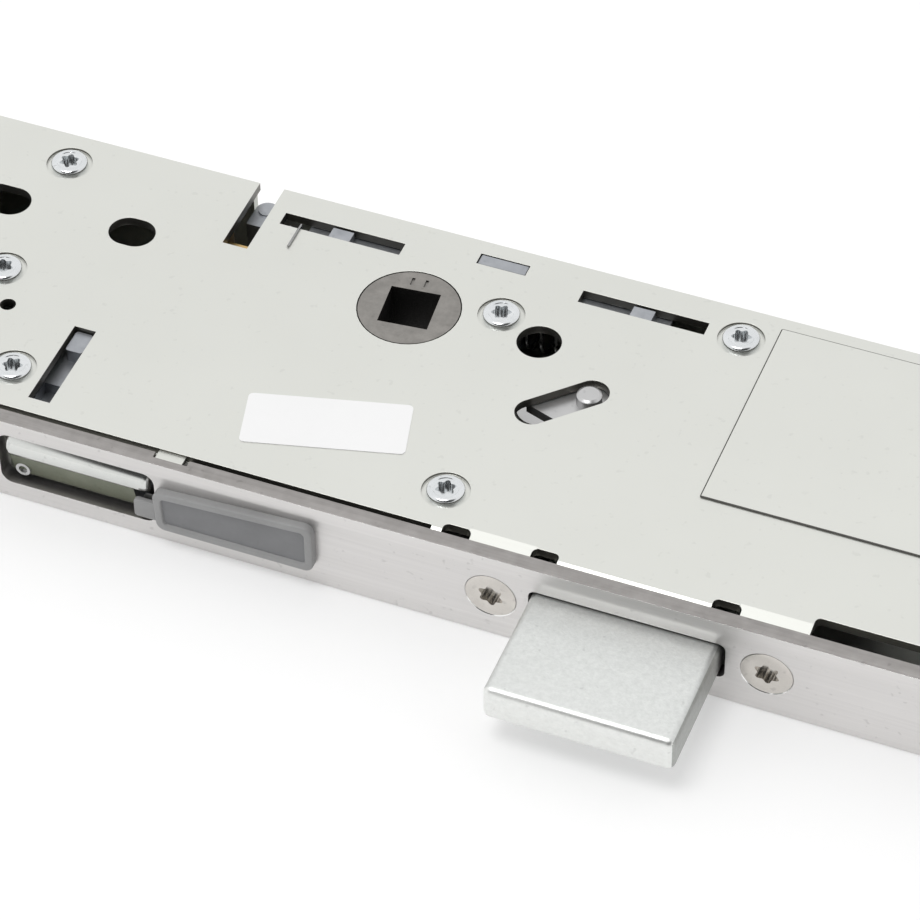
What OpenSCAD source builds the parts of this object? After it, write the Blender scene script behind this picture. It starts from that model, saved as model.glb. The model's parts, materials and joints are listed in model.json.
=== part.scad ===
/* [Faceplate] */
// Length of the faceplate above the spindle
strip_above = 860; // [790:10:1000]
// Length of the faceplate below the spindle
strip_below = 910; // [890:10:1100]
// Width of the faceplate, which is also the thickness of the lock cases
face_width = 16; // [16:0.5:18]
// Thickness of the faceplate
face_t = 2.5; // [2.5:0.1:3]
// Corner radius at the ends of the faceplate
strip_end_r = 2; // [0.5:0.5:6]

/* [Central case] */
// Faceplate front to spindle and cylinder centre
backset = 45; // [45:1:55]
// Spindle centre to cylinder centre
cylinder_centres = 92; // [92:1:96]
// Spindle centre to the back of the case
case_behind = 18.2; // [18.2:0.2:24]
// Spindle centre to the upper end of the case
case_above = 98; // [98:1:110]
// Spindle centre to the lower end of the case
case_below = 138; // [138:1:150]
// Sheet thickness of the cases
wall = 1.5; // [1.3:0.1:1.5]
// Clearance round loose moving pieces
run = 0.3; // [0.25:0.05:0.3]
// Clearance of pins, screws and rods in their holes
snug = 0.05; // [0.03:0.01:0.06]

/* [Follower] */
// Side of the spindle square
spindle = 8; // [7:0.5:8]
// Turn of the square in the centred position, in degrees
spindle_turn = 5.8; // [0:0.1:8]
// Radius of the follower seen through the cover
hub_r = 8; // [7.5:0.1:8]
// Turn of the handle from thrown to drawn back, in degrees
handle_turn = 45; // [40:1:45]

/* [Deadbolt] */
// Throw of the deadbolt and travel of the drive slide
bolt_throw = 20; // [18:0.5:20]
// Width of the deadbolt along the faceplate
bolt_width = 29.3; // [28.5:0.1:29.6]
// Thickness of the deadbolt
bolt_t = 6.2; // [5.8:0.1:6.4]
// Spindle centre to the middle of the deadbolt
bolt_x = 51.95; // [51.8:0.05:52.6]
// Radius on the edges of the deadbolt
bolt_edge = 1.2; // [0.6:0.1:1.4]

/* [Latch] */
// Width of the latch bolt along the faceplate
latch_width = 24; // [22:0.2:24]
// Spindle centre to the middle of the latch bolt
latch_x = 36.2; // [36:0.1:36.4]
// Travel of the latch bolt
latch_travel = 11.5; // [10:0.5:11.5]
// Diameter of the latch tail rod
tail_d = 4; // [3.6:0.1:4]

/* [Hooks] */
// Spindle centre to the upper hook's pivot
hook_above = 640; // [560:10:660]
// Spindle centre to the lower hook's pivot
hook_below = 700; // [640:10:740]
// How far a thrown hook stands out of the faceplate
hook_reach = 20; // [18:0.5:20]
// Faceplate front to the hook's pivot
hook_pivot_y = 12; // [12:0.5:13]
// Thickness of a hook
hook_t = 6; // [5:0.5:6]
// Swing of a hook, in degrees
hook_swing = 80; // [76:1:80]

/* [Rails] */
// Height of a rail across the faceplate
rail_h = 11.2; // [11:0.1:11.4]
// Thickness of the rails and the drive slide
rail_t = 2.5; // [2.3:0.1:2.5]

/* [Fixings] */
// Radius of the heads of the faceplate screws
face_head_r = 4; // [3.7:0.1:4]
// Radius of the heads of the cover screws
cover_head_r = 2.9; // [2.7:0.1:3.2]
// Radius of the holes for the screws that fix the lock to the door
door_hole_r = 2.3; // [2.2:0.1:2.5]
// Radius of the holes for the handle's through bolts
through_r = 3.5; // [3.3:0.1:3.5]

/* [Hidden] */
$fn = 64;

// Finishes
steel = "lightsteelblue";
plated = "gainsboro";
stainless = "silver";
zinc = "lightslategray";
dark_sinter = "dimgray";
plastic = "gray";
brass = "goldenrod";
paper = "white";

// Heights: z = 0 is the underside and y = 0 is the front of the faceplate in every module
z_floor = wall;
z_roof = face_width - wall;
z_mid = face_width / 2;
cut = 1;
slide_z = [z_floor + 0.1, z_floor + 0.1 + rail_t];
bolt_z = [z_mid - bolt_t / 2, z_mid + bolt_t / 2];
hook_z = [z_mid - hook_t / 2, z_mid + hook_t / 2];
case_back = backset + case_behind;
case_x = [-case_above, case_below];

// The drive slide runs on the floor of the case, close behind the front wall
front_wall_y = [face_t + snug, face_t + snug + wall];
slide_y = [front_wall_y[1] + run, front_wall_y[1] + run + 11.7];
link_l = 20;
slide_x = [case_x[0] - 6 - link_l, case_x[1] + 2 + bolt_throw + link_l];
rail_y = [face_t + run, face_t + run + rail_t];
rail_z = [z_mid - rail_h / 2, z_mid + rail_h / 2];
rail_past_hook = 70;

// The follower's three arms, as turn from +x and reach from the axis
drive_reach = bolt_throw / (2 * sin(handle_turn / 2));
drive_lobe_r = 3;
drive_arm_turn = -90 + handle_turn / 2;
drive_arm_z = [slide_z[1] + run, slide_z[1] + run + 3.6];
return_reach = 11.5;
return_lobe_r = 2;
return_travel = return_reach * sin(handle_turn);
return_arm_z = [z_mid + 1, z_mid + 3.4];
draw_reach = 15.6;
draw_lobe_r = 1.8;
draw_turn = 218;
carrier_z = [z_mid + 3.1, z_mid + 5.1];
shoulder_r = hub_r + 0.55;
hub_hole_r = hub_r + 0.2;

// The return slide and its stop, which show in three slots of the cover
return_z = [z_roof - run - 2.5, z_roof - run];
spine_y = [backset + shoulder_r + run, backset + 13.5];
tab_y = [backset + 10.7, backset + 12.9];
tab_slot_y = [tab_y[0] - 0.2, tab_y[1] + 0.3];
tab_w = 3.6;
upper_tab_x = -16.3;
lower_tab_x = 34.1;
spine_x = [upper_tab_x - 5.9, lower_tab_x + 4.4];
end_plate_y = [spine_y[0], tab_y[1] + 2];
stop_x = [6.1, 14.1];
stop_y = [backset + 13.15, backset + 15.3];
spring_r = 2.4;
spring_wire_r = 0.4;
spring_axis = [backset + 11.9, z_floor + 0.9 + spring_r + spring_wire_r];
return_curls = 7;

// The deadbolt, its cam groove and the pin that drives it
bolt_span = [bolt_x - bolt_width / 2, bolt_x + bolt_width / 2];
drive_pin_r = 2.5;
drive_pin_at = [bolt_x + 10.55, 25];
bolt_tail = drive_pin_at[1] + 4;
groove_top = z_mid + 0.2;
slot_corner = 1.2;

// The deadlock pin runs along a 45 degree slot in the cover
lock_pin_r = 2;
lock_pin_at = [32.6, backset - 7.8];
lock_travel = 6.4;
lock_slot_r = 2.65;
lock_slot_play = 0.35;
cam_plate_x = [28, bolt_span[1] + 1.4];
cam_plate_y = lock_pin_at[1] + 3.8;
lock_plate_z = [z_roof - run - 1.7, z_roof - run];

// The latch bolt, held back, with its tail running in the guide
latch_span = [-latch_x - latch_width / 2, -latch_x + latch_width / 2];
latch_z = [slide_z[1] + run, z_mid + 4.9];
latch_back = 22.6;
latch_tip = -0.1;
tip_r = 2.6;
latch_nose = [latch_tip + tip_r, latch_z[1] - tip_r];
tail_x = -36.7;
tail_z = z_mid - 0.6;
tail_end = backset + 9.4;
guide_y = [backset - 7, backset - 7 + wall];
guide_z = [z_floor, carrier_z[0] - run];
lug_x = [-46.2, -43.4];
lug_l = 4.3;
carrier_y = [tail_end - 3.2, tail_end];
finger_y = [tail_end - 5.4, tail_end - 2.8];
finger_end = -12.6;

// The key lever swings its nose into a notch of the drive slide
key_pivot_at = [81, 26];
key_pivot_r = 2.5;
key_swing = 20;
nose_at = [-9.5, -6];
nose_r = 2;
key_tip_at = [2.5, 12.5];
locked_nose = key_pivot_at + turned(nose_at, key_swing);
key_lever_z = [slide_z[1] + run, slide_z[1] + run + 2.5];

// The cylinder's profile and what the handle's bolts pass through
profile_r = 8.75;
profile_w = 10.4;
profile_drop = 24.9;
lower_through_x = 21.5;
upper_through = [[-48, backset + 0.4], [-46.6, backset + 0.4]];
far_slot = [[-71, backset + 0.2], [-68.3, backset + 0.2]];

// Small openings of the cover: the notch in its back edge, the latch's guide slot, a sight hole
back_notch_x = [-33, -28.8];
back_notch_y = backset + 3.3;
guide_slot_x = [-46.6, -43];
guide_slot_y = [6.2, 22.8];
sight_hole_at = [-58.4, backset - 21.5];
sight_hole_r = 1.25;
dimple_r = cover_head_r + 0.8;

// Screws: faceplate screws of the central case, cover screws, door fixings
face_screw_x = [-70, bolt_x - 21, bolt_x + 21.8, 128];
cover_screw_at = [[-91, case_back - 8], [-91, 22], [-63.5, case_back - 6.55],
    [-62.6, backset - 14.4], [-51.6, 11.2], [13.9, backset + 3.6], [19.8, 10.6],
    [50.2, case_back - 6.6], [133, case_back - 6.6], [133, 24]];
pillar_r = 3;
slotted_pillars = [cover_screw_at[4], cover_screw_at[6]];
screw_r = 1.95;
sink_depth = 1.9;
door_fix_x = [20 - strip_above, -500, -300, -160, 215, 400, 590, strip_below - 30];

// Hook cases, measured from the hook's pivot
hook_x = [-hook_above, hook_below];
hook_case_x = [-56, 48];
hook_case_back = 37;
hook_screw_x = [-50, 42];
hook_rivet_x = [-50, -26, 43];
hook_rivet_y = 29.5;
hook_pivot_r = 3;
hook_arm_r = bolt_throw / (2 * sin(hook_swing / 2));
hook_pin_at = [bolt_throw / 2, hook_pivot_y + hook_arm_r * cos(hook_swing / 2)];
hook_pin_r = 2;
driver_z = [hook_z[1] + run, hook_z[1] + run + 1.6];
driver_leg_x = [-22, -10];
hook_slot_x = [-6.6, 34.8];

// A point turned about the origin
function turned(p, a) = [p[0] * cos(a) - p[1] * sin(a), p[0] * sin(a) + p[1] * cos(a)];
function height(z) = z[1] - z[0];

// Every piece is drawn from the faceplate's front and moved to the spindle
module piece(finish) color(finish) translate([0, -backset, 0]) children();

module span(x, y, z) translate([x[0], y[0], z[0]]) cube([height(x), height(y), height(z)]);

module rod(at, r, z) translate([at[0], at[1], z[0]]) cylinder(h = height(z), r = r);

// A rod along y, through x and z
module rod_y(x, z, r, y) translate([x, y[1], z]) rotate([90, 0, 0]) cylinder(h = height(y), r = r);

// A slot or bar with round ends from one point to another
module pill(from, to, r, z) {
    long = norm(to - from);
    translate([from[0], from[1], z[0]]) rotate([0, 0, atan2(to[1] - from[1], to[0] - from[0])]) {
        cylinder(h = height(z), r = r);
        translate([long, 0, 0]) cylinder(h = height(z), r = r);
        translate([0, -r, 0]) cube([long, 2 * r, height(z)]);
    }
}

// A block with four round upright edges
module rounded(size, r) {
    translate([r, 0, 0]) cube([size[0] - 2 * r, size[1], size[2]]);
    translate([0, r, 0]) cube([size[0], size[1] - 2 * r, size[2]]);
    for (x = [r, size[0] - r], y = [r, size[1] - r]) translate([x, y, 0]) cylinder(h = size[2], r = r);
}

module rounded_span(x, y, z, r)
    translate([x[0], y[0], z[0]]) rounded([height(x), height(y), height(z)], r);

// The same block lying with its round edges along y, for windows in the faceplate
module window_y(x, y, z, r)
    translate([x[0], y[1], z[0]]) rotate([90, 0, 0]) rounded([height(x), height(z), height(y)], r);

// A block with all its edges rounded
module eased(x, y, z, r) intersection() {
    rounded_span(x, y, z, r);
    window_y(x, y, z, r);
    translate([x[0], y[0], z[0]]) rotate([90, 0, 90]) rounded([height(y), height(z), height(x)], r);
}

// A wound spring along z as one tube, with rings of six sides
module coil(long, r, wire_r, curls) {
    rings = 8 * curls;
    sides = 6;
    pts = [for (i = [0:rings], j = [0:sides - 1]) let (
        turn = 360 * i / 8,
        out = r + wire_r * cos(360 * j / sides),
        up = wire_r + (long - 2 * wire_r) * i / rings + wire_r * sin(360 * j / sides))
        [out * cos(turn), out * sin(turn), up]];
    skin = [for (i = [0:rings - 1], j = [0:sides - 1]) let (
        a = i * sides + j,
        b = i * sides + (j + 1) % sides)
        each [[a, b, a + sides], [b, b + sides, a + sides]]];
    caps = [for (j = [1:sides - 2]) each [[0, j + 1, j],
        [rings * sides, rings * sides + j, rings * sides + j + 1]]];
    echo(least_gap = (long - 2 * wire_r) / curls - 2 * wire_r);
    polyhedron(points = pts, faces = concat(skin, caps));
}

module coil_x(x, curls) translate([x[0], spring_axis[0], spring_axis[1]]) rotate([0, 90, 0])
    coil(height(x), spring_r, spring_wire_r, curls);

// A six lobed driving recess, along z, cut down from z = 0
module recess(r, deep) translate([0, 0, -deep]) {
    cylinder(h = deep + cut, r = 0.72 * r);
    for (k = [0:5]) rotate([0, 0, 60 * k]) translate([0.78 * r, 0, 0])
        cylinder(h = deep + cut, r = 0.24 * r);
}

// The hole for a countersunk screw through the faceplate
module countersink(x, head_r, hole_r) translate([x, 0, z_mid]) rotate([-90, 0, 0]) {
    translate([0, 0, -cut]) cylinder(h = face_t + 2 * cut, r = hole_r);
    cylinder(h = head_r - hole_r, r1 = head_r, r2 = hole_r);
    translate([0, 0, -cut]) cylinder(h = cut, r = head_r);
}

module face_screw(x, long) translate([x, 0, z_mid]) rotate([-90, 0, 0]) difference() {
    union() {
        cylinder(h = long, r = screw_r);
        cylinder(h = face_head_r - screw_r, r1 = face_head_r, r2 = screw_r);
    }
    rotate([180, 0, 0]) recess(0.5 * face_head_r, 1.4);
}

// The cylinder's profile: a round part with a narrow body hanging below it
module profile(z) {
    rod([cylinder_centres, backset], profile_r, z);
    pill([cylinder_centres, backset],
        [cylinder_centres + profile_drop - profile_w / 2, backset], profile_w / 2, z);
}

// Openings that go through both sheets of the central case
module through_openings(z) {
    rod([0, backset], hub_hole_r, z);
    rod([lower_through_x, backset], through_r, z);
    pill(upper_through[0], upper_through[1], 3.1, z);
    pill(far_slot[0], far_slot[1], 3.2, z);
    profile(z);
}

module lock_slot(z) pill(
    lock_pin_at - [lock_travel, lock_travel] - [lock_slot_play, lock_slot_play],
    lock_pin_at + [lock_slot_play, lock_slot_play], lock_slot_r, z);

module faceplate() piece(stainless) difference() {
    window_y([-strip_above, strip_below], [0, face_t], [0, face_width], strip_end_r);
    window_y([latch_span[0] - 1, latch_span[1] + 1], [-cut, face_t + cut],
        [latch_z[0] - 1.3, latch_z[1] + run], 1.9);
    span([gap_x - 5.4, gap_x + 0.2], [face_t - 1.1, face_t + cut], [face_width - 1, face_width + cut]);
    window_y([bolt_span[0] - 0.4, bolt_span[1] + 0.8], [-cut, face_t + cut],
        [bolt_z[0] - 0.4, bolt_z[1] + 0.4], slot_corner);
    for (x = face_screw_x) countersink(x, face_head_r + 0.15, screw_r + 0.2);
    for (hx = hook_x, x = hook_screw_x) countersink(hx + x, face_head_r + 0.15, screw_r + 0.2);
    for (x = door_fix_x) countersink(x, door_hole_r + sink_depth, door_hole_r);
    countersink(cylinder_centres + 19.5, 2.7 + sink_depth, 2.7);
    for (hx = hook_x) window_y([hx + hook_slot_x[0], hx + hook_slot_x[1]], [-cut, face_t + cut],
        [hook_z[0] - 0.6, hook_z[1] + 0.6], slot_corner);
}

module faceplate_screws() piece(stainless) {
    for (x = face_screw_x) face_screw(x, 8);
    for (hx = hook_x, x = hook_screw_x) face_screw(hx + x, 13);
}

// Boss on the front wall that takes a faceplate screw
module screw_boss(x) difference() {
    rod_y(x, z_mid, 3.4, [front_wall_y[1] - 0.2, 8.6]);
    rod_y(x, z_mid, screw_r + snug, [front_wall_y[0] - cut, 8.6 + cut]);
}

module case_tray() piece(steel) {
    difference() {
        union() {
            span(case_x, [front_wall_y[0], case_back], [0, z_floor]);
            span(case_x, front_wall_y, [0, z_roof - 1.6]);
            span(case_x, [case_back - wall, case_back], [0, z_roof]);
            for (x = [case_x[0], case_x[1] - wall])
                span([x, x + wall], [front_wall_y[0], case_back], [0, z_roof]);
        }
        through_openings([-cut, z_floor + cut]);
        lock_slot([-cut, z_floor + cut]);
        for (x = case_x) span([x - wall - cut, x + wall + cut], [slide_y[0] - run, slide_y[1] + run],
            [z_floor, slide_z[1] + run]);
        for (x = case_x) span([x - wall - cut, x + wall + cut], [face_t, slide_y[0]],
            [z_floor, z_roof + cut]);
        window_y([latch_span[0] - 0.6, latch_span[1] + 0.6], [face_t - cut, front_wall_y[1] + cut],
            [latch_z[0] - 1.3, z_roof], 0.6);
        window_y([bolt_span[0] - 0.4, bolt_span[1] + 0.6], [face_t - cut, front_wall_y[1] + cut],
            [bolt_z[0] - 0.4, bolt_z[1] + 0.4], 0.6);
        rod_y(cylinder_centres + 19.5, z_mid, 2.7, [face_t - cut, front_wall_y[1] + cut]);
        for (x = face_screw_x)
            rod_y(x, z_mid, screw_r + snug, [face_t - cut, front_wall_y[1] + cut]);
        span([back_notch_x[0] - 0.6, back_notch_x[1] + 0.2], [case_back - wall - cut, case_back + cut],
            [z_floor, z_roof + cut]);
    }
    for (x = face_screw_x) screw_boss(x);
}

// Notches in the front edge of the cover, as left end, right end and depth
front_notches = [[22.2, 26.5, 1.9], [36.1, 40.3, 1.9], [64.1, 68.4, 1.9],
    [cylinder_centres - 13, cylinder_centres + 13, 3.6]];
step_x = 20.5;
gap_x = -18.3;
front_gap = 0.85;
// Where the front edge of the cover slopes down, and how far
sloped_x = [[front_notches[0][1] - 0.5, front_notches[1][0] + 0.5],
    [front_notches[2][1] - 0.5, front_notches[3][0] + 0.5]];
slope_depth = 2.2;
slope_drop = 0.75;
tab_piece_x = [gap_x - 5.2, gap_x - 0.8];

module case_cover() piece(plated) difference() {
    union() {
        span(case_x, [face_t + front_gap, case_back], [z_roof, face_width]);
        translate([step_x, 0, 0]) rotate([90, 0, 90]) linear_extrude(case_x[1] - step_x) polygon([
            [face_t + 0.02, z_roof], [face_t + 0.02, face_width - 0.35],
            [face_t + front_gap - 0.2, face_width], [face_t + front_gap + 0.2, face_width],
            [face_t + front_gap + 0.2, z_roof]]);
        span([case_x[0] + 2 * wall, gap_x], [face_t + 0.1, face_t + front_gap + 0.2],
            [z_roof - 1.2, z_roof + 0.2]);
        span(tab_piece_x, [face_t + 0.1, face_t + 0.9], [z_roof - 0.2, face_width - 0.4]);
        span(tab_piece_x, [face_t - 1, face_t + 0.9], [face_width - 0.9, face_width - 0.4]);
    }
    through_openings([z_roof - cut, face_width + cut]);
    lock_slot([z_roof - cut, face_width + cut]);
    for (at = cover_screw_at) {
        rod(at, screw_r + snug, [z_roof - cut, face_width + cut]);
        rod(at, dimple_r, [face_width - 0.4, face_width + cut]);
    }
    for (n = front_notches) rounded_span([n[0], n[1]], [face_t - cut, face_t + n[2]],
        [z_roof - 2 * cut, face_width + cut], 0.9);
    for (x = sloped_x) translate([x[0], 0, 0]) rotate([90, 0, 90]) linear_extrude(height(x))
        polygon([[face_t - cut, face_width - slope_drop], [face_t + slope_depth, face_width],
            [face_t + slope_depth, face_width + 1], [face_t - cut, face_width + 1]]);
    span(back_notch_x, [back_notch_y, case_back + cut], [z_roof - cut, face_width + cut]);
    span(guide_slot_x, guide_slot_y, [z_roof - cut, face_width + cut]);
    span([upper_tab_x - return_travel - 1.9, upper_tab_x + return_travel + 2.2], tab_slot_y,
        [z_roof - cut, face_width + cut]);
    span([lower_tab_x - return_travel - 2.1, lower_tab_x + return_travel + 2.3], tab_slot_y,
        [z_roof - cut, face_width + cut]);
    span([stop_x[0] - 0.1, stop_x[1] + 0.1], [stop_y[0] - 0.1, stop_y[1] + 0.1],
        [z_roof - cut, face_width + cut]);
    rod(sight_hole_at, sight_hole_r, [z_roof - cut, face_width + cut]);
}

guard_t = 0.3;
guard_x = [bolt_x + 3.4, 126.5];
module cylinder_guard_plate() piece(plated) difference() {
    span(guard_x, [backset - 22.4, case_back - 2.4], [face_width, face_width + guard_t]);
    profile([face_width - cut, face_width + 2 * cut]);
}

module cover_screws() piece(plated) for (at = cover_screw_at) difference() {
    union() {
        rod(at, screw_r, [z_mid - 1, face_width]);
        rod(at, cover_head_r, [face_width - 0.4, face_width + 0.3]);
        translate([at[0], at[1], face_width + 0.3])
            cylinder(h = 0.3, r1 = cover_head_r, r2 = cover_head_r - 0.4);
    }
    translate([at[0], at[1], face_width + 0.6]) recess(0.55 * cover_head_r, 1.3);
}

module case_pillars() piece(steel) for (at = cover_screw_at) difference() {
    rod(at, pillar_r, [z_floor, z_roof]);
    rod(at, screw_r + snug, [z_mid - 1.4, z_roof + cut]);
}

// An arm of the follower, as a bar that ends in a round lobe
module follower_arm(turn, reach, lobe_r, half_w, z) {
    tip = [0, backset] + turned([reach, 0], turn);
    pill([0, backset], tip, half_w, z);
    rod(tip, lobe_r, z);
}

module follower() piece(dark_sinter) difference() {
    union() {
        rod([0, backset], hub_r, [0.1, face_width - 0.05]);
        rod([0, backset], shoulder_r, [slide_z[0], z_roof - 0.1]);
        follower_arm(drive_arm_turn, drive_reach, drive_lobe_r, 2.1, drive_arm_z);
        follower_arm(90, return_reach, return_lobe_r, 1.6, return_arm_z);
        follower_arm(draw_turn, draw_reach, draw_lobe_r, 1.6, carrier_z);
    }
    translate([0, backset, -cut]) rotate([0, 0, spindle_turn]) translate([-spindle / 2, -spindle / 2, 0])
        cube([spindle, spindle, face_width + 2 * cut]);
    for (x = [-1.1, 1.1]) translate([0, backset, 0]) rotate([0, 0, spindle_turn])
        span([x - 0.25, x + 0.25], [spindle / 2 + 1, spindle / 2 + 2.6],
            [face_width - 0.3, face_width + cut]);
}

// One end plate of the return slide with the tab that shows in the cover
module return_end(x) {
    span([x - tab_w / 2, x + tab_w / 2], end_plate_y, [spring_axis[1] - spring_r - 0.6, return_z[1]]);
    span([x - tab_w / 2, x + tab_w / 2], tab_y, [return_z[0], face_width - 0.2]);
}

module return_slide() piece(zinc) {
    fork = return_lobe_r + 0.45;
    difference() {
        span(spine_x, spine_y, return_z);
        span([stop_x[0] - return_travel - run, stop_x[1] + run], [stop_y[0] - run, spine_y[1] + cut],
            [return_z[0] - cut, return_z[1] + cut]);
    }
    for (x = [-fork - 3, fork]) span([x, x + 3], [spine_y[0], stop_y[0] - run],
        [return_arm_z[0] - 0.2, return_z[1]]);
    for (x = [upper_tab_x, lower_tab_x]) return_end(x);
}

module return_spring_upper() piece(stainless)
    coil_x([upper_tab_x + tab_w / 2, stop_x[0]], return_curls);

module return_spring_lower() piece(stainless)
    coil_x([stop_x[1], lower_tab_x - tab_w / 2], return_curls);

// The fixed stop between the springs, whose head fills a slot of the cover
module spring_stop() piece(zinc) {
    span(stop_x, [spine_y[0], case_back - wall], [z_floor, return_arm_z[0] - 0.6]);
    span(stop_x, stop_y, [z_floor, face_width - 0.1]);
}

// The drive slide: strip, driving fork for the follower and cam plate for the bolts
module drive_slide() piece(steel) {
    lobe_x = bolt_throw / 2;
    fork = drive_lobe_r + run;
    fork_y = [backset - drive_reach - drive_lobe_r - run, backset - drive_reach + 3.5];
    cam_end = lock_pin_at + [bolt_throw - lock_travel, -lock_travel];
    difference() {
        union() {
            span(slide_x, slide_y, slide_z);
            span([lobe_x - fork - 3, lobe_x + fork + 3], [slide_y[0], fork_y[1]], slide_z);
            span([lobe_x - fork - 3, lobe_x + fork + 3], [fork_y[0] - 1.2, fork_y[1]],
                [slide_z[0], drive_arm_z[1]]);
            rounded_span(cam_plate_x, [slide_y[0], cam_plate_y], slide_z, 2);
        }
        span([lobe_x - fork, lobe_x + fork], [fork_y[0], fork_y[1] + cut],
            [slide_z[1], drive_arm_z[1] + cut]);
        for (at = slotted_pillars) pill(at, at + [bolt_throw, 0], pillar_r + run,
            [slide_z[0] - cut, slide_z[1] + cut]);
        pill(lock_pin_at, cam_end, lock_pin_r + 0.15, [slide_z[0] - cut, slide_z[1] + cut]);
        rod(drive_pin_at, drive_pin_r, [slide_z[0] - cut, slide_z[1] + cut]);
        for (x = [0, bolt_throw]) pill(locked_nose + [x, 0], locked_nose + [x - 1, 4], nose_r + 0.45,
            [slide_z[0] - cut, slide_z[1] + cut]);
        for (x = link_rivet_x) rod([x, link_y], link_rivet_r, [slide_z[0] - cut, slide_z[1] + cut]);
    }
}

module deadbolt_drive_pin() piece(stainless)
    rod(drive_pin_at, drive_pin_r - 0.02, [slide_z[0], groove_top - 0.2]);

module deadbolt() piece(plated) difference() {
    eased(bolt_span, [-bolt_throw, bolt_tail], bolt_z, bolt_edge);
    pill(drive_pin_at, drive_pin_at - [bolt_throw, bolt_throw], drive_pin_r + 0.1,
        [bolt_z[0] - cut, groove_top]);
}

module deadlock_plate() piece(stainless) difference() {
    p = lock_pin_at;
    translate([0, 0, lock_plate_z[0]]) linear_extrude(height(lock_plate_z))
        polygon([p + [-8.8, -3.7], p + [4, -7.9], p + [4.4, 3.4], p + [-5.1, 3.4]]);
    rod(p, lock_pin_r, [lock_plate_z[0] - cut, lock_plate_z[1] + cut]);
}

module deadlock_pin() piece(stainless) {
    rod(lock_pin_at, lock_pin_r - 0.02, [slide_z[0], face_width - 0.3]);
    translate([lock_pin_at[0], lock_pin_at[1], face_width - 0.3])
        cylinder(h = 0.3, r1 = lock_pin_r - 0.02, r2 = lock_pin_r - 0.5);
}

latch_screw_at = [latch_span[0] + 2.3, z_mid - 2.4];
module latch_bolt() piece(zinc) difference() {
    union() {
        translate([latch_span[0], 0, 0]) rotate([90, 0, 90]) linear_extrude(latch_width)
            polygon([[latch_nose[0], latch_z[1]], [latch_back, latch_z[1]], [latch_back, latch_z[0]],
                [latch_nose[0] - 1, latch_z[0]], latch_nose - 0.6 * [tip_r, tip_r]]);
        translate([latch_span[0], latch_nose[0], latch_nose[1]]) rotate([0, 90, 0])
            cylinder(h = latch_width, r = tip_r);
        span(lug_x, [latch_back - lug_l, latch_back], [latch_z[1] - cut, face_width - 0.8]);
    }
    span([latch_span[1] - 2.7, latch_span[1] + cut], [latch_tip - cut, latch_travel + 4.8],
        [latch_z[0] - cut, z_mid + 1.2]);
    span([lug_x[0] - 1, lug_x[1] + 1], [3.6, latch_back - lug_l - 5.6],
        [latch_z[1] - 2, latch_z[1] + cut]);
    rod_y(tail_x, tail_z, tail_d / 2 + snug, [latch_back - 6, latch_back + cut]);
    rod_y(latch_screw_at[0], latch_screw_at[1], 1.2 + snug, [-cut, 12]);
}

module latch_screw() piece(steel) difference() {
    rod_y(latch_screw_at[0], latch_screw_at[1], 1.2, [0.9, 11.9]);
    rod_y(latch_screw_at[0], latch_screw_at[1], 0.7, [0.9 - cut, 1.3]);
}

module latch_tail() piece(stainless)
    rod_y(tail_x, tail_z, tail_d / 2, [latch_back - 5.9, tail_end]);

// The carrier joins the tail and reaches across to the follower's draw arm
module latch_carrier() piece(brass) difference() {
    union() {
        span([tail_x - 2.8, tail_x + 2.8], carrier_y, [z_mid - 3.3, carrier_z[1]]);
        span([tail_x - 2.8, finger_end], finger_y, carrier_z);
    }
    rod_y(tail_x, tail_z, tail_d / 2 + snug, [carrier_y[0] - cut, carrier_y[1] + cut]);
}

module latch_spring() piece(stainless) translate([tail_x, latch_back, tail_z]) rotate([-90, 0, 0])
    coil(guide_y[0] - latch_back, tail_d / 2 + 1.1, 0.4, 8);

module latch_guide() piece(steel) difference() {
    span([tail_x - 6.2, tail_x + 6.2], guide_y, guide_z);
    rod_y(tail_x, tail_z, tail_d / 2 + snug, [guide_y[0] - cut, guide_y[1] + cut]);
}

// The zinc block that closes the notch in the back edge
module back_block() piece(zinc) {
    x = [back_notch_x[0] + 0.1, back_notch_x[1] - 0.2];
    middle = [x[0] + height(x) / 2, case_back - 2.3];
    span(x, [case_back - 6.2, middle[1]], [z_floor, z_roof - 1.9]);
    rod(middle, height(x) / 2, [z_floor, z_roof - 1.9]);
    rod(middle, 1.4, [z_floor, z_roof - 1.6]);
}

// A bent wire whose end pokes out of the upper slot and lies on the cover
wire_r = 0.2;
wire_x = [-24.9, -22.9];
module wire_spring() piece(stainless) {
    y = tab_y[0] + 0.6;
    low = z_floor + wire_r;
    over = face_width + wire_r;
    rod([wire_x[0], y], wire_r, [low, face_width - 0.8]);
    rod([wire_x[1], y], wire_r, [low, over]);
    rod_y(wire_x[1], over, wire_r, [backset + 5.9, y]);
    translate([wire_x[0], y, low]) rotate([0, 90, 0]) cylinder(h = height(wire_x), r = wire_r);
    for (x = wire_x) translate([x, y, low]) sphere(r = wire_r);
    translate([wire_x[1], y, over]) sphere(r = wire_r);
}

module key_lever() piece(zinc) difference() {
    nose = key_pivot_at + nose_at;
    union() {
        rod(key_pivot_at, key_pivot_r + 1.9, key_lever_z);
        pill(key_pivot_at, nose, 2.6, key_lever_z);
        pill(key_pivot_at, key_pivot_at + key_tip_at, 1.6, key_lever_z);
        rod(nose, nose_r, [slide_z[0] + 0.2, key_lever_z[1]]);
    }
    rod(key_pivot_at, key_pivot_r + snug, [key_lever_z[0] - cut, key_lever_z[1] + cut]);
}

module key_lever_pivot() piece(stainless) rod(key_pivot_at, key_pivot_r, [z_floor, z_roof]);

module key_lever_spring() piece(stainless)
    translate([key_pivot_at[0], key_pivot_at[1], key_lever_z[1] + run])
        coil(z_roof - key_lever_z[1] - 2 * run, key_pivot_r + 0.8, 0.4, 4);

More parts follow.
